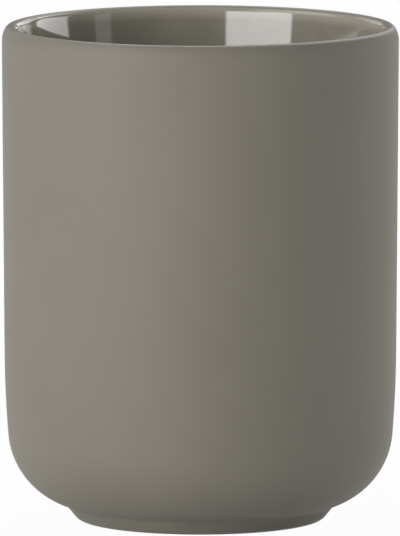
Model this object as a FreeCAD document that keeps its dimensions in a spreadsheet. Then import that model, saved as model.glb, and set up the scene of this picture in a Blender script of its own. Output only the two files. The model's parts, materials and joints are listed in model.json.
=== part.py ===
import FreeCAD, Part
import math
import os

import Sketcher
from FreeCAD import Vector

# A straight-sided ceramic toothbrush tumbler, in millimetres.
# It stands on z = 0 with its axis on z. Every piece is turned about that axis from a half-section
# in the XZ plane: the fired clay body, and the three finishes that cover it as separate skins. The matte
# coat laps over the rim's crest, and the glaze starts at its edge.

# Driving sizes. The outside and the inside are measured on the finished surfaces, skins included.
SIZES = {
    # Outside, from the rim down
    "total_height": "100",
    "rim_diameter": "79.8",
    "crest_radius": "1.3",
    "roll_radius": "4.8",
    "roll_width": "1.75",
    "wall_lean": "0.4",
    "belly_height": "34.5",
    "belly_radius": "240",
    "heel_radius": "16.1",
    "heel_clearance": "2.5",
    # Foot ring and the recess inside it
    "foot_inset": "16.3",
    "foot_lean": "39.5",
    "foot_blend_radius": "2.6",
    "foot_edge_radius": "2.2",
    "foot_ring_width": "3.4",
    "recess_depth": "2",
    "recess_lean": "25",
    "recess_edge_radius": "0.8",
    "recess_blend_radius": "1.2",
    # Inside, from the rim down
    "inner_roll_radius": "1.4",
    "lap_angle": "40",
    "lip_radius": "120",
    "wall_thickness": "5",
    "well_radius": "12",
    "base_thickness": "5.5",
    # Finishes
    "coat_thickness": "0.25",
    "glaze_thickness": "0.4",
}

# Places worked out from the driving sizes: _x is a distance from the axis, _z a height and _angle degrees.
# A _reach is how far a leaning line lies from the middle of the base, measured square to the line.
# A _square and an _along are one centre's offset from another, across a leaning line and down it.
LAYOUT = {
    # Rim crest, and the wider arc that rolls it over to the wall
    "crest_x": "=sizes.rim_diameter / 2 - sizes.roll_width",
    "roll_x": "=sizes.rim_diameter / 2 - sizes.roll_radius",
    "roll_angle": "=acos((crest_x - roll_x) / (sizes.roll_radius - sizes.crest_radius)) / 1 deg",
    "roll_z": "=sizes.total_height - sizes.crest_radius"
              " - (sizes.roll_radius - sizes.crest_radius) * sin(roll_angle)",
    # Wall, belly and heel
    "wall_reach": "=roll_x * cos(sizes.wall_lean) - roll_z * sin(sizes.wall_lean) + sizes.roll_radius",
    "belly_z": "=sizes.belly_height + sizes.belly_radius * sin(sizes.wall_lean)",
    "belly_x": "=(wall_reach - sizes.belly_radius + belly_z * sin(sizes.wall_lean)) / cos(sizes.wall_lean)",
    "heel_z": "=sizes.heel_clearance + sizes.heel_radius",
    "heel_angle": "=asin((heel_z - belly_z) / (sizes.belly_radius - sizes.heel_radius)) / 1 deg",
    "heel_x": "=belly_x + (sizes.belly_radius - sizes.heel_radius) * cos(heel_angle)",
    # Foot, and the hollow blend that joins it to the heel
    "foot_x": "=sizes.rim_diameter / 2 - sizes.foot_inset",
    "blend_square": "=(foot_x - heel_x) * cos(sizes.foot_lean) - (sizes.foot_edge_radius - heel_z)"
                    " * sin(sizes.foot_lean) + sizes.foot_edge_radius + sizes.foot_blend_radius",
    "blend_along": "=sqrt((sizes.heel_radius + sizes.foot_blend_radius)^2 - blend_square^2)",
    "blend_x": "=heel_x + blend_square * cos(sizes.foot_lean) - blend_along * sin(sizes.foot_lean)",
    "blend_z": "=heel_z - blend_square * sin(sizes.foot_lean) - blend_along * cos(sizes.foot_lean)",
    "blend_angle": "=asin((heel_z - blend_z) / (sizes.heel_radius + sizes.foot_blend_radius)) / 1 deg",
    # Lip, and the round well where the inner wall meets the floor
    "inner_roll_z": "=sizes.total_height - sizes.inner_roll_radius",
    "inner_reach": "=wall_reach - sizes.wall_thickness",
    "lip_square": "=inner_reach + sizes.lip_radius - crest_x * cos(sizes.wall_lean)"
                  " + inner_roll_z * sin(sizes.wall_lean)",
    "lip_along": "=sqrt((sizes.lip_radius - sizes.inner_roll_radius)^2 - lip_square^2)",
    "lip_x": "=crest_x + lip_square * cos(sizes.wall_lean) - lip_along * sin(sizes.wall_lean)",
    "lip_z": "=inner_roll_z - lip_square * sin(sizes.wall_lean) - lip_along * cos(sizes.wall_lean)",
    "lip_angle": "=asin((inner_roll_z - lip_z) / (sizes.lip_radius - sizes.inner_roll_radius)) / 1 deg",
    "floor_z": "=sizes.recess_depth + sizes.base_thickness",
    "well_z": "=floor_z + sizes.well_radius",
    "well_x": "=(inner_reach - sizes.well_radius + well_z * sin(sizes.wall_lean)) / cos(sizes.wall_lean)",
    # Recess inside the foot ring
    "ring_x": "=foot_x - sizes.foot_ring_width",
    "hollow_z": "=sizes.recess_depth - sizes.recess_blend_radius",
    "hollow_square": "=sizes.recess_edge_radius + sizes.recess_blend_radius",
    "hollow_along": "=(hollow_z - sizes.recess_edge_radius + hollow_square * sin(sizes.recess_lean))"
                    " / cos(sizes.recess_lean)",
    "hollow_x": "=ring_x - hollow_square * cos(sizes.recess_lean) - hollow_along * sin(sizes.recess_lean)",
}

# How far below the finished surface a line is drawn: on it, or under the skin that covers it.
SEEN = "0"
UNDER_COAT = "sizes.coat_thickness"
UNDER_GLAZE = "sizes.glaze_thickness"

# The two ends of a line or an arc, and an arc's centre, as a sketch numbers them.
START = 1
END = 2
CENTRE = 3


def add_sheet(doc, name, cells):
    """Add a spreadsheet with one named cell a row."""
    sheet = doc.addObject("Spreadsheet::Sheet", name)
    for row, (alias, content) in enumerate(cells.items(), start=1):
        sheet.set(f"A{row}", alias)
        sheet.set(f"B{row}", content)
        sheet.setAlias(f"B{row}", alias)
    doc.recompute()
    return sheet


class HalfSection:
    """The closed outline of one turned piece, as lines and arcs with dimensions tied to the sheets."""

    def __init__(self, doc, name):
        self.doc = doc
        self.body = doc.addObject("PartDesign::Body", name)
        self.body.Label = name
        self.sketch = self.body.newObject("Sketcher::SketchObject", name + "_section")
        planes = self.body.Origin.OriginFeatures
        upright = next(plane for plane in planes if plane.Role == "XZ_Plane")
        self.sketch.AttachmentSupport = (upright, "")
        self.sketch.MapMode = "FlatFace"

    def number(self, expression):
        """Work out an expression of the sheets' cells, as a plain number."""
        result = self.doc.sizes.evalExpression(expression)
        return getattr(result, "Value", result)

    def dimension(self, kind, place, expression):
        """Add a dimension and tie it to the sheets."""
        value = self.number(expression)
        if kind == "Angle":
            value = math.radians(value)
        index = self.sketch.addConstraint(Sketcher.Constraint(kind, *place, value))
        self.sketch.setExpression(f"Constraints[{index}]", expression)

    def at_x(self, place, expression):
        self.dimension("DistanceX", place, expression)

    def at_z(self, place, expression):
        self.dimension("DistanceY", place, expression)

    def point(self, end):
        return self.sketch.getPoint(*end)

    def arc(self, centre, radius, first, last):
        """Add an arc that turns counter-clockwise from the angle first to the angle last, in degrees."""
        middle = Vector(self.number(centre[0]), self.number(centre[1]), 0)
        circle = Part.Circle(middle, Vector(0, 0, 1), self.number(radius))
        turn = [math.radians(self.number(angle)) for angle in (first, last)]
        arc = self.sketch.addGeometry(Part.ArcOfCircle(circle, *turn), False)
        self.dimension("Radius", (arc,), radius)
        return arc

    def line(self, start, end):
        return self.sketch.addGeometry(Part.LineSegment(start, end), False)

    def leaning(self, foot, head, angle):
        """Add a line up from the end foot to the end head, tangent to both of their arcs."""
        line = self.line(self.point(foot), self.point(head))
        self.tangent((line, START), foot)
        self.tangent((line, END), head)
        self.dimension("Angle", (line,), angle)

    def level(self, outer):
        """Add a level line from the axis out to the end outer, tangent to its arc."""
        reached = self.point(outer)
        line = self.line(Vector(0, reached.y, 0), reached)
        self.tangent((line, END), outer)
        self.sketch.addConstraint(Sketcher.Constraint("Horizontal", line))
        self.at_x((line, START), "0")
        return line, START

    def joined(self, first, second):
        """Add a straight line between two ends that are already in place."""
        line = self.line(self.point(first), self.point(second))
        self.sketch.addConstraint(Sketcher.Constraint("Coincident", line, START, *first))
        self.sketch.addConstraint(Sketcher.Constraint("Coincident", line, END, *second))

    def dropped(self, end):
        """Add an upright line from an end down to the table."""
        high = self.point(end)
        line = self.line(high, Vector(high.x, 0, 0))
        self.sketch.addConstraint(Sketcher.Constraint("Coincident", line, START, *end))
        self.sketch.addConstraint(Sketcher.Constraint("Vertical", line))
        self.at_z((line, END), "0")
        return line, END

    def tangent(self, first, second):
        self.sketch.addConstraint(Sketcher.Constraint("Tangent", *first, *second))

    def over_the_rim(self, arc, end, depth):
        """Place an arc of the rim's inner roll, with one end where the coat laps on to the glaze."""
        self.at_x((arc, CENTRE), "layout.crest_x")
        self.at_z((arc, CENTRE), "layout.inner_roll_z")
        self.at_x((arc, end), f"layout.crest_x - (sizes.inner_roll_radius - {depth}) * sin(sizes.lap_angle)")

    def outside(self, depth):
        """Draw the outside from just over the rim's crest to the foot's edge, and return those two ends."""
        lap = self.arc(("layout.crest_x", "layout.inner_roll_z"),
                       f"sizes.inner_roll_radius - {depth}", "90", "90 + sizes.lap_angle")
        crest = self.arc(("layout.crest_x", "sizes.total_height - sizes.crest_radius"),
                         f"sizes.crest_radius - {depth}", "layout.roll_angle", "90")
        roll = self.arc(("layout.roll_x", "layout.roll_z"),
                        f"sizes.roll_radius - {depth}", "-sizes.wall_lean", "layout.roll_angle")
        belly = self.arc(("layout.belly_x", "layout.belly_z"),
                         f"sizes.belly_radius - {depth}", "layout.heel_angle", "-sizes.wall_lean")
        heel = self.arc(("layout.heel_x", "layout.heel_z"),
                        f"sizes.heel_radius - {depth}", "-layout.blend_angle", "layout.heel_angle")
        blend = self.arc(("layout.blend_x", "layout.blend_z"), f"sizes.foot_blend_radius + {depth}",
                         "180 - layout.blend_angle", "180 - sizes.foot_lean")
        edge = self.arc(("layout.foot_x", "sizes.foot_edge_radius"),
                        f"sizes.foot_edge_radius - {depth}", "-90", "-sizes.foot_lean")
        self.over_the_rim(lap, END, depth)
        self.tangent((lap, START), (crest, END))
        self.at_x((crest, CENTRE), "layout.crest_x")
        self.tangent((crest, START), (roll, END))
        self.at_x((roll, CENTRE), "layout.roll_x")
        self.leaning((belly, END), (roll, START), "90 - sizes.wall_lean")
        self.at_z((belly, CENTRE), "layout.belly_z")
        self.tangent((belly, START), (heel, END))
        self.at_z((heel, CENTRE), "layout.heel_z")
        self.tangent((heel, START), (blend, START))
        self.leaning((edge, END), (blend, END), "90 - sizes.foot_lean")
        self.at_x((edge, CENTRE), "layout.foot_x")
        self.at_z((edge, CENTRE), "sizes.foot_edge_radius")
        self.at_x((edge, START), "layout.foot_x")
        return (lap, END), (edge, START)

    def inside(self, depth):
        """Draw the inside from under the coat's lap to the middle of the floor, and return those two ends."""
        roll = self.arc(("layout.crest_x", "layout.inner_roll_z"), f"sizes.inner_roll_radius - {depth}",
                        "90 + sizes.lap_angle", "180 - layout.lip_angle")
        lip = self.arc(("layout.lip_x", "layout.lip_z"),
                       f"sizes.lip_radius - {depth}", "180 - layout.lip_angle", "180 - sizes.wall_lean")
        well = self.arc(("layout.well_x", "layout.well_z"),
                        f"sizes.well_radius + {depth}", "-90", "-sizes.wall_lean")
        self.over_the_rim(roll, START, depth)
        self.tangent((roll, END), (lip, START))
        self.leaning((well, END), (lip, END), "90 - sizes.wall_lean")
        self.at_x((well, CENTRE), "layout.well_x")
        self.at_z((well, CENTRE), "layout.well_z")
        return (roll, START), self.level((well, START))

    def underside(self, depth):
        """Draw the recess from the foot ring's inner edge to the middle, and return those two ends."""
        edge = self.arc(("layout.ring_x", "sizes.recess_edge_radius"),
                        f"sizes.recess_edge_radius - {depth}", "180 + sizes.recess_lean", "270")
        hollow = self.arc(("layout.hollow_x", "layout.hollow_z"),
                          f"sizes.recess_blend_radius + {depth}", "sizes.recess_lean", "90")
        self.at_x((edge, CENTRE), "layout.ring_x")
        self.at_z((edge, CENTRE), "sizes.recess_edge_radius")
        self.at_x((edge, END), "layout.ring_x")
        self.leaning((edge, START), (hollow, START), "90 + sizes.recess_lean")
        self.at_z((hollow, CENTRE), "layout.hollow_z")
        return (edge, END), self.level((hollow, END))

    def turn(self):
        """Turn the outline about the axis."""
        turned = self.body.newObject("PartDesign::Revolution", self.body.Name + "_turned")
        turned.Profile = self.sketch
        turned.ReferenceAxis = (self.sketch, ["V_Axis"])
        turned.Angle = 360.0
        self.sketch.Visibility = False
        self.doc.recompute()
        if not self.sketch.FullyConstrained:
            raise RuntimeError(f"{self.sketch.Name} is not fully constrained")
        return self.body


def stoneware_body(doc):
    """The fired clay: wall, floor and foot ring, bare only where the ring meets the table."""
    section = HalfSection(doc, "stoneware_body")
    rim_outer, foot_outer = section.outside(UNDER_COAT)
    rim_inner, floor_middle = section.inside(UNDER_GLAZE)
    foot_inner, recess_middle = section.underside(UNDER_GLAZE)
    section.joined(rim_outer, rim_inner)
    section.joined(section.dropped(foot_outer), section.dropped(foot_inner))
    section.joined(recess_middle, floor_middle)
    return section.turn()


def skin(doc, name, side, depth):
    """A finish of even thickness that lies on one side of the clay."""
    section = HalfSection(doc, name)
    draw = getattr(section, side)
    seen_ends = draw(SEEN)
    hidden_ends = draw(depth)
    for seen, hidden in zip(seen_ends, hidden_ends):
        section.joined(seen, hidden)
    return section.turn()


def checked(doc, bodies):
    """Stop unless every object is computed and every piece is one valid solid."""
    for item in doc.Objects:
        if "Invalid" in item.State or "Error" in item.State:
            raise RuntimeError(f"{item.Name} failed: {item.State}")
    for body in bodies:
        if body.Shape.isNull() or not body.Shape.isValid() or len(body.Shape.Solids) != 1:
            raise RuntimeError(f"{body.Label} is not one valid solid")


def main():
    doc = FreeCAD.newDocument("toothbrush_tumbler")
    add_sheet(doc, "sizes", SIZES)
    add_sheet(doc, "layout", LAYOUT)
    bodies = [
        stoneware_body(doc),
        skin(doc, "soft_touch_coat", "outside", UNDER_COAT),
        skin(doc, "glaze_lining", "inside", UNDER_GLAZE),
        skin(doc, "base_glaze", "underside", UNDER_GLAZE),
    ]
    doc.recompute()
    checked(doc, bodies)
    os.makedirs("parts", exist_ok=True)
    for body in bodies:
        body.Shape.exportStep(f"parts/{body.Label}.step")
        box = body.Shape.optimalBoundingBox(False)
        print(f"{body.Label}: {body.Shape.Volume:.1f} mm3, {box.XLength:.2f} by {box.ZLength:.2f} mm")


main()
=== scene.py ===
import json
import math
from collections import namedtuple

import bmesh
import bpy
from bpy.props import FloatProperty, FloatVectorProperty, IntProperty, PointerProperty
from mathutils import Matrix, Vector
from mathutils.geometry import interpolate_bezier


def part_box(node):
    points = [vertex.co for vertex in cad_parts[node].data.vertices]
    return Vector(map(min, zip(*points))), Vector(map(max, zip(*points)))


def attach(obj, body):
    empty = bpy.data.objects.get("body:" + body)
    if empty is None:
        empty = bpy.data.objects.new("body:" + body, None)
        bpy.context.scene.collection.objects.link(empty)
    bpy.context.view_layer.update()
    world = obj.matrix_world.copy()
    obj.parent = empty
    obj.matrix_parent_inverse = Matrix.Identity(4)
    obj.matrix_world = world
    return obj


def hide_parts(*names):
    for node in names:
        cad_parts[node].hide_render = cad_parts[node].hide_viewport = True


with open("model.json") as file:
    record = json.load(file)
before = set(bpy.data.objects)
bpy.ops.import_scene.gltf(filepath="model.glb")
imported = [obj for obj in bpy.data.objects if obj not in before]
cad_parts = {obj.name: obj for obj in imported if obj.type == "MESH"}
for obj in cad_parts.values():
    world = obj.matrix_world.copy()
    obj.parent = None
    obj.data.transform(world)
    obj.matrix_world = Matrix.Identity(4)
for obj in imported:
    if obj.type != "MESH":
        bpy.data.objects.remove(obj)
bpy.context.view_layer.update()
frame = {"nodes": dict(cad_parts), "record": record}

bl_info = {
    "name": "Toothbrush tumbler",
    "version": (1, 0, 0),
    "blender": (4, 5, 0),
    "location": "View3D > Sidebar > Tumbler",
    "description": "A ceramic toothbrush tumbler, matte outside and glossy inside, on a studio floor",
    "category": "Add Mesh",
}

# Lengths are in metres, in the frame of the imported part: z is the cup's axis and it stands on z = 0.
MM = 0.001
BODY = "root"

# Points of a half-section closer than this are one point, and a sharper turn than this is a corner.
SAME_POINT = 1e-7
CORNER_TURN = math.radians(25)

# The top of the rim, and the underside of the glaze on the cup's floor.
RIM_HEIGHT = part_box("soft_touch_coat")[1].z
FLOOR_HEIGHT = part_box("glaze_lining")[0].z

WHITE = (1, 1, 1, 1)


def slot_colour(slot):
    """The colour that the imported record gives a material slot."""
    for material in frame["record"]["materials"]:
        if material["slot"] == slot:
            return tuple(material["base_color"])
    raise KeyError(slot)


class TumblerSizes(bpy.types.PropertyGroup):
    """How finely the pieces are turned, and how far their surfaces wander."""

    steps_around: IntProperty(
        name="Steps Around", description="Faces in one turn about the axis", default=256, min=32)
    point_step: FloatProperty(
        name="Point Step", description="Longest step along a half-section",
        default=1.5 * MM, unit="LENGTH", precision=5)
    glaze_ripple_depth: FloatProperty(
        name="Glaze Ripple Depth", description="How far the glaze dips where it ran thin",
        default=0.03 * MM, unit="LENGTH", precision=5)
    glaze_ripple_size: FloatProperty(
        name="Glaze Ripple Size", description="Width of one dip in the glaze",
        default=14 * MM, unit="LENGTH", precision=5)
    film_ripple_depth: FloatProperty(
        name="Film Ripple Depth", description="How far the sprayed film dips",
        default=0.01 * MM, unit="LENGTH", precision=5)
    film_ripple_size: FloatProperty(
        name="Film Ripple Size", description="Width of one dip in the film",
        default=9 * MM, unit="LENGTH", precision=5)
    ring_grooves: IntProperty(
        name="Ring Grooves", description="Turning lines on the bare foot ring", default=9, min=1)
    ring_groove_depth: FloatProperty(
        name="Ring Groove Depth", description="Depth of one turning line",
        default=0.03 * MM, unit="LENGTH", precision=5)


class TumblerColours(bpy.types.PropertyGroup):
    """The colours of the finishes."""

    film: FloatVectorProperty(
        name="Film", description="Matte film on the outside",
        subtype="COLOR", min=0, max=1, default=slot_colour("soft_touch"))
    glaze: FloatVectorProperty(
        name="Glaze", description="Glossy glaze inside and under the foot",
        subtype="COLOR", min=0, max=1, default=slot_colour("glaze"))
    clay: FloatVectorProperty(
        name="Clay", description="Bare fired clay of the foot ring",
        subtype="COLOR", min=0, max=1, default=slot_colour("stoneware"))
    speck: FloatVectorProperty(
        name="Speck", description="Iron specks in the clay",
        subtype="COLOR", min=0, max=1, default=(0.16, 0.11, 0.07))


class TumblerStage(bpy.types.PropertyGroup):
    """The camera, the lamps and the floor."""

    camera_distance: FloatProperty(
        name="Camera Distance", description="From the cup's middle to the camera",
        default=2.939, unit="LENGTH")
    camera_elevation: FloatProperty(
        name="Camera Elevation", description="How far the camera looks down",
        default=math.radians(7.115), subtype="ANGLE")
    focal_length: FloatProperty(
        name="Focal Length", description="On a 36 mm film", default=980.5, unit="CAMERA")
    aim: FloatVectorProperty(
        name="Aim", description="The point in the middle of the picture",
        subtype="TRANSLATION", default=(-0.08 * MM, 0, 50.84 * MM))
    room_level: FloatProperty(
        name="Room Level", description="Brightness of the dim room overhead, where 1 is white",
        default=0.12, min=0)
    wall_level: FloatProperty(
        name="Wall Level", description="Brightness of the far walls near the floor, where 1 is white",
        default=1.0, min=0)
    floor_colour: FloatVectorProperty(
        name="Floor", description="Pale floor",
        subtype="COLOR", min=0, max=1, default=(0.72, 0.72, 0.72))
    floor_white: FloatProperty(
        name="Floor White", description="How far the floor's shadows are washed out to white",
        subtype="FACTOR", default=0.97, min=0, max=1)


# Trees of nodes

def add(tree, kind, inputs=None, **settings):
    """Add a node with its settings, and set or join its inputs by name or number."""
    node = tree.nodes.new(kind)
    for name, value in settings.items():
        setattr(node, name, value)
    for name, value in (inputs or {}).items():
        if isinstance(value, bpy.types.NodeSocket):
            tree.links.new(value, node.inputs[name])
        else:
            node.inputs[name].default_value = value
    return node


def math_node(tree, operation, *values):
    """Add a Math node and return its result."""
    return add(tree, "ShaderNodeMath", dict(enumerate(values)), operation=operation).outputs[0]


def vector_node(tree, operation, *values):
    """Add a Vector Math node and return its vector."""
    return add(tree, "ShaderNodeVectorMath", dict(enumerate(values)), operation=operation).outputs[0]


def length_node(tree, vector):
    """Add a Vector Math node and return the vector's length."""
    return add(tree, "ShaderNodeVectorMath", {0: vector}, operation="LENGTH").outputs["Value"]


def mixed(tree, factor, first, second):
    """Mix two colours, which are a Mix node's inputs 6 and 7, and return the result."""
    inputs = {"Factor": factor, 6: first, 7: second}
    return add(tree, "ShaderNodeMix", inputs, data_type="RGBA").outputs[2]


def between(tree, value, low, high, to_low=0, to_high=1):
    """Map a value from one range to another, smoothly and no further, and return the result."""
    inputs = {"Value": value, "From Min": low, "From Max": high, "To Min": to_low, "To Max": to_high}
    return add(tree, "ShaderNodeMapRange", inputs, interpolation_type="SMOOTHSTEP").outputs[0]


# Half-sections

def half_section(node):
    """Cut a CAD node through its axis, and return one half's outline and whether it is closed."""
    cut = bmesh.new()
    cut.from_mesh(frame["nodes"][node].data)
    bmesh.ops.remove_doubles(cut, verts=cut.verts, dist=SAME_POINT)
    for across, keep_far_side in (((0, 1, 0), False), ((1, 0, 0), True)):
        bmesh.ops.bisect_plane(
            cut, geom=[*cut.verts, *cut.edges, *cut.faces], dist=SAME_POINT, plane_co=(0, 0, 0),
            plane_no=across, clear_inner=True, clear_outer=not keep_far_side)
    ends = [vert for vert in cut.verts if len(vert.link_edges) == 1]
    vert = min(ends or cut.verts, key=lambda end: end.co.z)
    points = [vert.co.copy()]
    edge = vert.link_edges[0]
    while len(points) < len(cut.verts):
        vert = edge.other_vert(vert)
        points.append(vert.co.copy())
        edge = next((link for link in vert.link_edges if link != edge), edge)
    cut.free()
    closed = not ends
    return (points if runs_outward(points) else points[::-1]), closed


def runs_outward(points):
    """Whether an outline, turned about the axis in this order, has its faces outward."""
    pairs = zip(points, points[1:] + points[:1])
    return sum(a.x * b.z - b.x * a.z for a, b in pairs) < 0


def heading(points, closed, index, chord):
    """The way that an outline runs at one of its points, or along the chord at a corner or an end."""
    count = len(points)
    if not closed and index in (0, count - 1):
        return chord.normalized()
    here = points[index % count]
    back = here - points[(index - 1) % count]
    ahead = points[(index + 1) % count] - here
    if back.angle(ahead) > CORNER_TURN:
        return chord.normalized()
    return (back + ahead).normalized()


def smoothed(points, closed, step, table_step, least):
    """Add points on curves through an outline's own, with finer steps where it rests on the table."""
    count = len(points)
    fine = []
    for index in range(count if closed else count - 1):
        start, end = points[index], points[(index + 1) % count]
        chord = end - start
        on_table = max(start.z, end.z) < SAME_POINT
        pieces = max(least, math.ceil(chord.length / (table_step if on_table else step)))
        reach = chord.length / 3
        leaving = start + heading(points, closed, index, chord) * reach
        arriving = end - heading(points, closed, index + 1, chord) * reach
        fine += interpolate_bezier(start, leaving, arriving, end, pieces + 1)[:-1]
    return fine if closed else fine + [points[-1]]


# Turned pieces

TURNED_INPUTS = (
    ("Half-section", "NodeSocketGeometry"),
    ("Steps Around", "NodeSocketInt"),
    ("Ripple Depth", "NodeSocketFloat"),
    ("Ripple Size", "NodeSocketFloat"),
    ("Ripple Seed", "NodeSocketFloat"),
    ("Grooves", "NodeSocketFloat"),
    ("Groove Depth", "NodeSocketFloat"),
    ("Ring Inside", "NodeSocketFloat"),
    ("Ring Outside", "NodeSocketFloat"),
    ("Material", "NodeSocketMaterial"),
)
# The circle that a half-section is carried round, and the turn past which an edge is shaded as sharp.
GUIDE_RADIUS = 10 * MM
SHARP_EDGE = math.radians(40)
POINTS_PER_GROOVE = 8
FILM_SEED = 3.0
GLAZE_SEED = 5.0


def turned_tree():
    """Build the tree that turns a half-section about the axis and lets its surface wander a little."""
    tree = bpy.data.node_groups.new("turned_piece", "GeometryNodeTree")
    tree.is_modifier = True
    for name, kind in TURNED_INPUTS:
        tree.interface.new_socket(name=name, in_out="INPUT", socket_type=kind)
    tree.interface.new_socket(name="Piece", in_out="OUTPUT", socket_type="NodeSocketGeometry")
    given = add(tree, "NodeGroupInput").outputs
    # The half-section is laid square to a guide circle and carried round it.
    outline = add(tree, "GeometryNodeMeshToCurve", {"Mesh": given["Half-section"]})
    laid = add(tree, "GeometryNodeTransform", {
        "Geometry": outline.outputs[0],
        "Translation": (-GUIDE_RADIUS, 0, 0),
        "Rotation": (math.pi / 2, 0, 0),
    })
    guide = add(tree, "GeometryNodeCurvePrimitiveCircle", {
        "Resolution": given["Steps Around"],
        "Radius": GUIDE_RADIUS,
    })
    turned = add(tree, "GeometryNodeCurveToMesh", {
        "Curve": guide.outputs[0],
        "Profile Curve": laid.outputs[0],
    })
    closed = add(tree, "GeometryNodeMergeByDistance", {
        "Geometry": turned.outputs[0],
        "Distance": SAME_POINT,
    })
    # The surface dips inward by a slow noise, never outward.
    place = add(tree, "GeometryNodeInputPosition").outputs[0]
    noise = add(tree, "ShaderNodeTexNoise", {
        "Vector": place,
        "W": given["Ripple Seed"],
        "Scale": math_node(tree, "DIVIDE", 1, given["Ripple Size"]),
        "Detail": 1,
    }, noise_dimensions="4D")
    deepest = math_node(tree, "MULTIPLY", given["Ripple Depth"], -1)
    dip = math_node(tree, "MULTIPLY", noise.outputs[0], deepest)
    inward = add(tree, "ShaderNodeVectorMath", {
        0: add(tree, "GeometryNodeInputNormal").outputs[0],
        "Scale": dip,
    }, operation="SCALE")
    above_table = add(tree, "FunctionNodeCompare", {
        0: add(tree, "ShaderNodeSeparateXYZ", {0: place}).outputs["Z"],
        1: SAME_POINT,
    }, operation="GREATER_THAN")
    rippled = add(tree, "GeometryNodeSetPosition", {
        "Geometry": closed.outputs[0],
        "Selection": above_table.outputs[0],
        "Offset": inward.outputs[0],
    })
    # Turning lines, a cosine wave between 0 and 1, are cut up into the face that rests on the table.
    radius = length_node(tree, vector_node(tree, "MULTIPLY", place, (1, 1, 0)))
    turns = add(tree, "ShaderNodeMapRange", {
        "Value": radius,
        "From Min": given["Ring Inside"],
        "From Max": given["Ring Outside"],
        "To Max": math_node(tree, "MULTIPLY", given["Grooves"], 2 * math.pi),
    })
    wave = math_node(tree, "MULTIPLY_ADD", math_node(tree, "COSINE", turns.outputs[0]), -0.5, 0.5)
    depth = math_node(tree, "MULTIPLY", wave, given["Groove Depth"])
    cut = add(tree, "ShaderNodeCombineXYZ", {"Z": depth})
    on_table = add(tree, "FunctionNodeBooleanMath", {0: above_table.outputs[0]}, operation="NOT")
    grooved = add(tree, "GeometryNodeSetPosition", {
        "Geometry": rippled.outputs[0],
        "Selection": on_table.outputs[0],
        "Offset": cut.outputs[0],
    })
    # Faces are smooth, and edges are sharp at corners.
    smooth = add(tree, "GeometryNodeSetShadeSmooth", {
        "Geometry": grooved.outputs[0],
        "Shade Smooth": True,
    })
    corner = add(tree, "FunctionNodeCompare", {
        0: add(tree, "GeometryNodeInputMeshEdgeAngle").outputs["Unsigned Angle"],
        1: SHARP_EDGE,
    }, operation="GREATER_THAN")
    edged = add(tree, "GeometryNodeSetShadeSmooth", {
        "Geometry": smooth.outputs[0],
        "Selection": corner.outputs[0],
        "Shade Smooth": False,
    }, domain="EDGE")
    real = add(tree, "GeometryNodeRealizeInstances", {"Geometry": edged.outputs[0]})
    dressed = add(tree, "GeometryNodeSetMaterial", {
        "Geometry": real.outputs[0],
        "Material": given["Material"],
    })
    add(tree, "NodeGroupOutput", {0: dressed.outputs[0]})
    return tree


def turned_piece(name, node, slot, table_step=None, least=2, **values):
    """Turn a CAD node's half-section again as a finer mesh, and put that in the node's place."""
    sizes = bpy.context.scene.tumbler_sizes
    tree = bpy.data.node_groups.get("turned_piece") or turned_tree()
    points, closed = half_section(node)
    points = smoothed(points, closed, sizes.point_step, table_step or sizes.point_step, least)
    edges = [(index, index + 1) for index in range(len(points) - 1)]
    if closed:
        edges.append((len(points) - 1, 0))
    outline = bpy.data.meshes.new(name + "_half_section")
    outline.from_pydata(points, edges, [])
    shaped = bpy.data.objects.new(name + "_half_section", outline)
    bpy.context.scene.collection.objects.link(shaped)
    modifier = shaped.modifiers.new("turned", "NODES")
    modifier.node_group = tree
    values["steps_around"] = sizes.steps_around
    for socket in tree.interface.items_tree:
        setting = socket.name.lower().replace(" ", "_")
        if setting in values:
            modifier[socket.identifier] = values[setting]
    bpy.context.view_layer.update()
    evaluated = shaped.evaluated_get(bpy.context.evaluated_depsgraph_get())
    mesh = bpy.data.meshes.new_from_object(evaluated)
    bpy.data.objects.remove(shaped)
    mesh.name = name
    piece = bpy.data.objects.new(name, mesh)
    bpy.context.scene.collection.objects.link(piece)
    if not mesh.polygons:
        raise RuntimeError(f"{name} has no faces")
    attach(piece, BODY)
    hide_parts(node)


def foot_ring():
    """The inner and outer radius of the bare ring that rests on the table."""
    points = half_section("stoneware_body")[0]
    resting = [point.x for point in points if point.z < SAME_POINT]
    return min(resting), max(resting)


# Finishes

def shader_group(name, inputs, outputs):
    """Make a shader node group with named inputs and outputs, and return it with its two end nodes."""
    tree = bpy.data.node_groups.new(name, "ShaderNodeTree")
    for label, kind in inputs:
        tree.interface.new_socket(name=label, in_out="INPUT", socket_type=kind)
    for label, kind in outputs:
        tree.interface.new_socket(name=label, in_out="OUTPUT", socket_type=kind)
    return tree, add(tree, "NodeGroupInput").outputs, add(tree, "NodeGroupOutput")


# The middle range of a noise, in which most of it lies.
NOISE_RANGE = (0.3, 0.7)
# The shares of coarse and fine noise in a grain, and how many times finer the fine noise is.
COARSE_SHARE = 0.6
FINE_SHARE = 0.4
FINE_SCALE = 3.1
CLOUD_DISTORTION = 0.4


def grain_group():
    """Fine even grain: coarse and fine noise added up, as a height from 0 to 1."""
    tree, given, result = shader_group(
        "grain",
        [("Vector", "NodeSocketVector"), ("Size", "NodeSocketFloat")],
        [("Height", "NodeSocketFloat")])
    scale = math_node(tree, "DIVIDE", 1, given["Size"])
    finer = math_node(tree, "MULTIPLY", scale, FINE_SCALE)
    coarse = add(tree, "ShaderNodeTexNoise", {"Vector": given["Vector"], "Scale": scale, "Detail": 2})
    fine = add(tree, "ShaderNodeTexNoise", {"Vector": given["Vector"], "Scale": finer, "Detail": 1})
    broad = math_node(tree, "MULTIPLY", coarse.outputs[0], COARSE_SHARE)
    height = math_node(tree, "MULTIPLY_ADD", fine.outputs[0], FINE_SHARE, broad)
    tree.links.new(height, result.inputs["Height"])
    return tree


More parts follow.
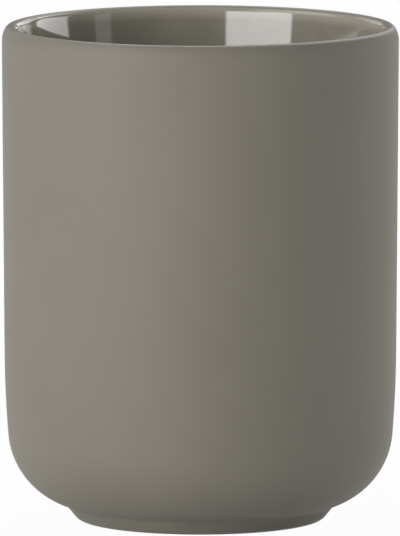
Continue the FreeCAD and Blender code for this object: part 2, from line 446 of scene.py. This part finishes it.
def mottle_group():
    """Slow cloudy change from one colour to another."""
    tree, given, result = shader_group(
        "mottle",
        [("Vector", "NodeSocketVector"), ("Size", "NodeSocketFloat"), ("Light", "NodeSocketColor"),
         ("Dark", "NodeSocketColor")],
        [("Color", "NodeSocketColor")])
    noise = add(tree, "ShaderNodeTexNoise", {
        "Vector": given["Vector"],
        "Scale": math_node(tree, "DIVIDE", 1, given["Size"]),
        "Detail": 3,
        "Distortion": CLOUD_DISTORTION,
    })
    cloud = between(tree, noise.outputs[0], *NOISE_RANGE)
    tree.links.new(mixed(tree, cloud, given["Light"], given["Dark"]), result.inputs["Color"])
    return tree


def effect(tree, name, build, **inputs):
    """Place a shared shader group in a material, and return its first output."""
    group = bpy.data.node_groups.get(name) or build()
    return add(tree, "ShaderNodeGroup", inputs, node_tree=group).outputs[0]


def shade(colour, share):
    """A colour made lighter or darker, with the alpha that a colour socket wants."""
    return (*(min(1, channel * share) for channel in colour), 1)


def new_material(name):
    """Make a material and return it with its tree, its shader and its object coordinates."""
    material = bpy.data.materials.new(name)
    material.use_nodes = True
    tree = material.node_tree
    place = add(tree, "ShaderNodeTexCoord").outputs["Object"]
    return material, tree, tree.nodes["Principled BSDF"], place


def add_bump(tree, shader, height, strength, distance):
    """Let a height bend the light on a surface."""
    bump = add(tree, "ShaderNodeBump", {"Height": height, "Strength": strength, "Distance": distance})
    tree.links.new(bump.outputs[0], shader.inputs["Normal"])


# The matte film: its tones are shares of its colour, its polish is added to its roughness, and it is
# polished between these heights.
FILM_GRAIN_SIZE = 0.16 * MM
FILM_GRAIN_TONE = 0.97
FILM_GRAIN_DEPTH = 0.02 * MM
FILM_GRAIN_BUMP = 0.25
FILM_CLOUD_SIZE = 26 * MM
FILM_LIGHT_TONE = 1.02
FILM_DARK_TONE = 0.98
FILM_ROUGHNESS = 0.54
FILM_GRAIN_ROUGHNESS = 0.08
FILM_POLISH = -0.25
FILM_IOR = 1.45
FILM_SPECULAR = 0.35
POLISHED_RIM = (RIM_HEIGHT - 0.9 * MM, RIM_HEIGHT - 0.1 * MM)
POLISHED_FOOT = (1 * MM, 0)


def soft_touch_material():
    """Matte soft-touch film: fine spray grain, a cloudy tone, and some polish on the rim and the foot."""
    colour = bpy.context.scene.tumbler_colours.film
    material, tree, shader, place = new_material("soft_touch_film")
    grain = effect(tree, "grain", grain_group, Vector=place, Size=FILM_GRAIN_SIZE)
    tone = effect(tree, "mottle", mottle_group, Vector=place, Size=FILM_CLOUD_SIZE,
                  Light=shade(colour, FILM_LIGHT_TONE), Dark=shade(colour, FILM_DARK_TONE))
    grained = mixed(tree, between(tree, grain, *NOISE_RANGE), shade(WHITE[:3], FILM_GRAIN_TONE), WHITE)
    base = add(tree, "ShaderNodeMix", {"Factor": 1.0, 6: tone, 7: grained}, data_type="RGBA",
               blend_type="MULTIPLY")
    height = add(tree, "ShaderNodeSeparateXYZ", {0: place}).outputs["Z"]
    rim = between(tree, height, *POLISHED_RIM)
    foot = between(tree, height, *POLISHED_FOOT)
    polish = math_node(tree, "MAXIMUM", rim, foot)
    rough = math_node(tree, "MULTIPLY_ADD", grain, FILM_GRAIN_ROUGHNESS, FILM_ROUGHNESS)
    polished = math_node(tree, "MULTIPLY_ADD", polish, FILM_POLISH, rough)
    tree.links.new(base.outputs[2], shader.inputs["Base Color"])
    tree.links.new(polished, shader.inputs["Roughness"])
    add_bump(tree, shader, grain, FILM_GRAIN_BUMP, FILM_GRAIN_DEPTH)
    shader.inputs["IOR"].default_value = FILM_IOR
    shader.inputs["Specular IOR Level"].default_value = FILM_SPECULAR
    return material


# The glaze: its tones are shares of its colour, and it pools and breaks lighter between these heights.
# The lighter band near the rim is partly glaze run thin and partly a painted reflection of the room above.
GLAZE_CLOUD_SIZE = 7 * MM
GLAZE_LIGHT_TONE = 1.05
GLAZE_DARK_TONE = 0.95
GLAZE_POOLED_TONE = 0.8
GLAZE_THIN_AND_SHEEN_TONE = 1.5
GLAZE_POOLED = (FLOOR_HEIGHT + 14 * MM, FLOOR_HEIGHT)
GLAZE_THIN_AND_SHEEN = (RIM_HEIGHT - 3.2 * MM, RIM_HEIGHT - 0.8 * MM)
GLAZE_PEEL_SIZE = 1.4 * MM
GLAZE_PEEL_DEPTH = 0.01 * MM
GLAZE_PEEL_BUMP = 0.15
GLAZE_ROUGHNESS = 0.04
GLAZE_PEEL_ROUGHNESS = 0.05
GLAZE_IOR = 1.55
GLAZE_COAT = 0.6
GLAZE_COAT_ROUGHNESS = 0.03


def glaze_material():
    """Glossy glaze: a cloudy taupe that darkens where it pooled, and is lighter near the rim as thin glaze
    and painted reflection.
    """
    colour = bpy.context.scene.tumbler_colours.glaze
    material, tree, shader, place = new_material("glossy_glaze")
    tone = effect(tree, "mottle", mottle_group, Vector=place, Size=GLAZE_CLOUD_SIZE,
                  Light=shade(colour, GLAZE_LIGHT_TONE), Dark=shade(colour, GLAZE_DARK_TONE))
    height = add(tree, "ShaderNodeSeparateXYZ", {0: place}).outputs["Z"]
    pooled = between(tree, height, *GLAZE_POOLED)
    # Painted light: near the rim the colour is lightened, partly for thin glaze and partly as a painted
    # reflection of the room above.
    thin = between(tree, height, *GLAZE_THIN_AND_SHEEN)
    deep = mixed(tree, pooled, tone, shade(colour, GLAZE_POOLED_TONE))
    broken_and_sheen = mixed(tree, thin, deep, shade(colour, GLAZE_THIN_AND_SHEEN_TONE))
    peel = effect(tree, "grain", grain_group, Vector=place, Size=GLAZE_PEEL_SIZE)
    rough = math_node(tree, "MULTIPLY_ADD", peel, GLAZE_PEEL_ROUGHNESS, GLAZE_ROUGHNESS)
    tree.links.new(broken_and_sheen, shader.inputs["Base Color"])
    tree.links.new(rough, shader.inputs["Roughness"])
    add_bump(tree, shader, peel, GLAZE_PEEL_BUMP, GLAZE_PEEL_DEPTH)
    shader.inputs["IOR"].default_value = GLAZE_IOR
    shader.inputs["Coat Weight"].default_value = GLAZE_COAT
    shader.inputs["Coat Roughness"].default_value = GLAZE_COAT_ROUGHNESS
    shader.inputs["Coat IOR"].default_value = GLAZE_IOR
    return material


# The bare clay: its tones are shares of its colour, and its specks are the middles of cells.
CLAY_SAND_SIZE = 0.35 * MM
CLAY_SAND_DEPTH = 0.05 * MM
CLAY_SAND_BUMP = 0.5
CLAY_CLOUD_SIZE = 5 * MM
CLAY_LIGHT_TONE = 1.08
CLAY_DARK_TONE = 0.88
CLAY_ROUGHNESS = 0.7
CLAY_SAND_ROUGHNESS = 0.2
SPECK_SPACING = 0.9 * MM
SPECK_EDGE = (0.2, 0.12)


def stoneware_material():
    """Bare fired clay: sandy grain with iron specks."""
    colours = bpy.context.scene.tumbler_colours
    material, tree, shader, place = new_material("bare_stoneware")
    sand = effect(tree, "grain", grain_group, Vector=place, Size=CLAY_SAND_SIZE)
    tone = effect(tree, "mottle", mottle_group, Vector=place, Size=CLAY_CLOUD_SIZE,
                  Light=shade(colours.clay, CLAY_LIGHT_TONE), Dark=shade(colours.clay, CLAY_DARK_TONE))
    cells = add(tree, "ShaderNodeTexVoronoi", {"Vector": place, "Scale": 1 / SPECK_SPACING})
    specks = between(tree, cells.outputs["Distance"], *SPECK_EDGE)
    specked = mixed(tree, specks, tone, shade(colours.speck, 1))
    rough = math_node(tree, "MULTIPLY_ADD", sand, CLAY_SAND_ROUGHNESS, CLAY_ROUGHNESS)
    tree.links.new(specked, shader.inputs["Base Color"])
    tree.links.new(rough, shader.inputs["Roughness"])
    add_bump(tree, shader, sand, CLAY_SAND_BUMP, CLAY_SAND_DEPTH)
    return material


# Stage

Softbox = namedtuple("Softbox", "azimuth elevation distance width height tilted level")

# Azimuth is from the camera to the right and elevation is up from the floor, in degrees. Distance, width
# and height are in metres. A tilted box faces the cup's middle, and any other stands upright. Level is how
# bright its face looks, where 1 is white.
SOFTBOXES = {
    "key_softbox": Softbox(-39.2, 13, 1.4, 1.2, 0.74, False, 4.6),
    "high_left_softbox": Softbox(-75, 42, 1.4, 1.4, 1.0, True, 1.25),
    "side_softbox": Softbox(112, 13, 1.4, 0.88, 0.74, False, 2.6),
    "dim_strip": Softbox(66.4, 13, 1.6, 0.4, 0.84, False, 0.66),
    "back_right_softbox": Softbox(155, 20, 1.4, 0.8, 0.7, True, 1.4),
    "back_left_softbox": Softbox(-150, 20, 1.4, 0.8, 0.7, True, 0.5),
    "high_back_softbox": Softbox(165, 48, 1.4, 1.4, 0.9, True, 2.4),
}
# The radius of a lamp's corners, and the width over which its edges fade.
LAMP_CORNER = 0.15
LAMP_EDGE = 0.07

FLOOR_RADIUS = 12
FLOOR_SIDES = 128
FLOOR_DROP = 0.02 * MM
CLIP_END = 4 * FLOOR_RADIUS
# A reflection of the floor whitens between these distances from the cup's axis. The first lies before the
# axis, so that the foot still mirrors some white.
SHADOW_REACH = (-60 * MM, 100 * MM)
# The far walls fade upward by this power.
WALL_FADE = 40


def around(azimuth, elevation, distance):
    """A point at that distance from the cup's middle, where azimuth 0 is towards the camera."""
    turn, rise = math.radians(azimuth), math.radians(elevation)
    middle = Vector((0, 0, RIM_HEIGHT / 2))
    return middle + distance * Vector((
        math.sin(turn) * math.cos(rise), -math.cos(turn) * math.cos(rise), math.sin(rise)))


def soften_edges(lamp):
    """Round a lamp's corners and let its brightness fall off at its edges."""
    lamp.use_nodes = True
    tree = lamp.node_tree
    size = (lamp.size, lamp.size_y, 0)
    corner = (lamp.size / 2 - LAMP_CORNER, lamp.size_y / 2 - LAMP_CORNER, 0)
    # A spot on the face, given from 0 to 1, is measured from the middle and then past the corner's centre.
    spot = add(tree, "ShaderNodeNewGeometry").outputs["Parametric"]
    centred = vector_node(tree, "SUBTRACT", spot, (0.5, 0.5, 0))
    sized = vector_node(tree, "MULTIPLY", centred, size)
    folded = vector_node(tree, "ABSOLUTE", sized)
    past = vector_node(tree, "SUBTRACT", folded, corner)
    outer = vector_node(tree, "MAXIMUM", past, (0, 0, 0))
    reach = length_node(tree, outer)
    bright = between(tree, reach, LAMP_CORNER, LAMP_CORNER - LAMP_EDGE)
    tree.links.new(bright, tree.nodes["Emission"].inputs["Strength"])


def add_softbox(name, box):
    """Add a rectangular lamp that faces the cup."""
    lamp = bpy.data.lights.new(name, "AREA")
    lamp.shape = "RECTANGLE"
    lamp.size = box.width
    lamp.size_y = box.height
    lamp.energy = box.level * math.pi * box.width * box.height
    soften_edges(lamp)
    stand = bpy.data.objects.new(name, lamp)
    stand.location = around(box.azimuth, box.elevation, box.distance)
    faced = RIM_HEIGHT / 2 if box.tilted else stand.location.z
    towards = Vector((0, 0, faced)) - stand.location
    stand.rotation_euler = towards.to_track_quat("-Z", "Y").to_euler()
    stand.visible_camera = False
    bpy.context.scene.collection.objects.link(stand)


def floor_material():
    """Pale floor that looks white, keeps a soft shadow, and is clear from below."""
    settings = bpy.context.scene.tumbler_stage
    material = bpy.data.materials.new("studio_floor")
    material.use_nodes = True
    tree = material.node_tree
    tree.nodes.clear()
    pale = add(tree, "ShaderNodeBsdfDiffuse", {"Color": shade(settings.floor_colour, 1)}).outputs[0]
    white = add(tree, "ShaderNodeEmission", {"Color": WHITE, "Strength": 1.0}).outputs[0]
    # A reflection of the floor keeps more of its shadow near the foot.
    path = add(tree, "ShaderNodeLightPath").outputs
    place = add(tree, "ShaderNodeTexCoord").outputs["Object"]
    open_floor = between(tree, length_node(tree, place), *SHADOW_REACH)
    bounced = math_node(tree, "MAXIMUM", path["Is Glossy Ray"], path["Is Transmission Ray"])
    mirrored = math_node(tree, "MULTIPLY", open_floor, bounced)
    seen = math_node(tree, "MAXIMUM", path["Is Camera Ray"], mirrored)
    washed = math_node(tree, "MULTIPLY", seen, settings.floor_white)
    lit = add(tree, "ShaderNodeMixShader", {0: washed, 1: pale, 2: white}).outputs[0]
    clear = add(tree, "ShaderNodeBsdfTransparent").outputs[0]
    below = add(tree, "ShaderNodeNewGeometry").outputs["Backfacing"]
    surface = add(tree, "ShaderNodeMixShader", {0: below, 1: lit, 2: clear}).outputs[0]
    add(tree, "ShaderNodeOutputMaterial", {"Surface": surface})
    return material


def add_floor():
    """Add the floor, a hair below the foot."""
    disc = bmesh.new()
    bmesh.ops.create_circle(disc, cap_ends=True, segments=FLOOR_SIDES, radius=FLOOR_RADIUS)
    bmesh.ops.translate(disc, verts=disc.verts, vec=(0, 0, -FLOOR_DROP))
    mesh = bpy.data.meshes.new("studio_floor")
    disc.to_mesh(mesh)
    disc.free()
    mesh.materials.append(floor_material())
    floor = bpy.data.objects.new("studio_floor", mesh)
    bpy.context.scene.collection.objects.link(floor)


def add_camera():
    """Add the camera at the photograph's viewing angle."""
    settings = bpy.context.scene.tumbler_stage
    lens = bpy.data.cameras.new("camera")
    lens.lens = settings.focal_length
    lens.clip_end = CLIP_END
    camera = bpy.data.objects.new("camera", lens)
    camera.location = around(0, math.degrees(settings.camera_elevation), settings.camera_distance)
    looking = Vector(settings.aim) - camera.location
    camera.rotation_euler = looking.to_track_quat("-Z", "Y").to_euler()
    bpy.context.scene.collection.objects.link(camera)
    bpy.context.scene.camera = camera


def add_room():
    """Light everything a little from a dim room, whose far walls are paler near the floor."""
    settings = bpy.context.scene.tumbler_stage
    world = bpy.data.worlds.new("studio_room")
    world.use_nodes = True
    tree = world.node_tree
    place = add(tree, "ShaderNodeTexCoord").outputs["Generated"]
    rise = add(tree, "ShaderNodeSeparateXYZ", {0: place}).outputs["Z"]
    low = add(tree, "ShaderNodeMapRange", {"Value": rise, "To Min": 1, "To Max": 0}).outputs[0]
    wall = math_node(tree, "POWER", low, WALL_FADE)
    brighter = settings.wall_level - settings.room_level
    strength = math_node(tree, "MULTIPLY_ADD", wall, brighter, settings.room_level)
    background = tree.nodes["Background"]
    background.inputs["Color"].default_value = WHITE
    tree.links.new(strength, background.inputs["Strength"])
    bpy.context.scene.world = world


# Operators

class TUMBLER_OT_fired_clay(bpy.types.Operator):
    """Turn the clay body, with turning lines on its bare foot ring"""

    bl_idname = "tumbler.fired_clay"
    bl_label = "Fired Clay"

    def execute(self, context):
        sizes = context.scene.tumbler_sizes
        inside, outside = foot_ring()
        groove_points = sizes.ring_grooves * POINTS_PER_GROOVE
        turned_piece("fired_clay", "stoneware_body", "stoneware", material=stoneware_material(), least=1,
                     table_step=(outside - inside) / groove_points,
                     ring_inside=inside, ring_outside=outside,
                     grooves=float(sizes.ring_grooves), groove_depth=sizes.ring_groove_depth)
        return {"FINISHED"}


class TUMBLER_OT_matte_film(bpy.types.Operator):
    """Turn the matte film that covers the outside and laps over the rim"""

    bl_idname = "tumbler.matte_film"
    bl_label = "Matte Film"

    def execute(self, context):
        sizes = context.scene.tumbler_sizes
        turned_piece("matte_film", "soft_touch_coat", "soft_touch", material=soft_touch_material(),
                     ripple_depth=sizes.film_ripple_depth, ripple_size=sizes.film_ripple_size,
                     ripple_seed=FILM_SEED)
        return {"FINISHED"}


class TUMBLER_OT_glazes(bpy.types.Operator):
    """Turn the glossy lining and the patch of the same glaze under the foot"""

    bl_idname = "tumbler.glazes"
    bl_label = "Glazes"

    def execute(self, context):
        sizes = context.scene.tumbler_sizes
        glaze = {
            "slot": "glaze",
            "material": glaze_material(),
            "ripple_depth": sizes.glaze_ripple_depth,
            "ripple_size": sizes.glaze_ripple_size,
            "ripple_seed": GLAZE_SEED,
        }
        turned_piece("inner_glaze", "glaze_lining", **glaze)
        turned_piece("foot_glaze", "base_glaze", **glaze)
        return {"FINISHED"}


class TUMBLER_OT_stage(bpy.types.Operator):
    """Set up the floor, the lamps, the room and the camera"""

    bl_idname = "tumbler.stage"
    bl_label = "Stage"

    def execute(self, context):
        add_floor()
        for name, box in SOFTBOXES.items():
            add_softbox(name, box)
        add_room()
        add_camera()
        context.scene.view_settings.view_transform = "Standard"
        return {"FINISHED"}


class VIEW3D_PT_tumbler(bpy.types.Panel):
    """Lists the tumbler's settings and operators"""

    bl_label = "Toothbrush Tumbler"
    bl_idname = "VIEW3D_PT_tumbler"
    bl_space_type = "VIEW_3D"
    bl_region_type = "UI"
    bl_category = "Tumbler"

    def draw(self, context):
        scene = context.scene
        for settings in (scene.tumbler_sizes, scene.tumbler_colours, scene.tumbler_stage):
            column = self.layout.column()
            for name in settings.bl_rna.properties.keys():
                if name not in ("name", "rna_type"):
                    column.prop(settings, name)
        for operator in OPERATORS:
            self.layout.operator(operator.bl_idname)


OPERATORS = (TUMBLER_OT_fired_clay, TUMBLER_OT_matte_film, TUMBLER_OT_glazes, TUMBLER_OT_stage)
CLASSES = (TumblerSizes, TumblerColours, TumblerStage, *OPERATORS, VIEW3D_PT_tumbler)


def register():
    for item in CLASSES:
        bpy.utils.register_class(item)
    bpy.types.Scene.tumbler_sizes = PointerProperty(type=TumblerSizes)
    bpy.types.Scene.tumbler_colours = PointerProperty(type=TumblerColours)
    bpy.types.Scene.tumbler_stage = PointerProperty(type=TumblerStage)


def unregister():
    del bpy.types.Scene.tumbler_stage
    del bpy.types.Scene.tumbler_colours
    del bpy.types.Scene.tumbler_sizes
    for item in reversed(CLASSES):
        bpy.utils.unregister_class(item)


def main():
    register()
    bpy.ops.tumbler.fired_clay()
    bpy.ops.tumbler.matte_film()
    bpy.ops.tumbler.glazes()
    bpy.ops.tumbler.stage()


if __name__ == "__main__":
    main()
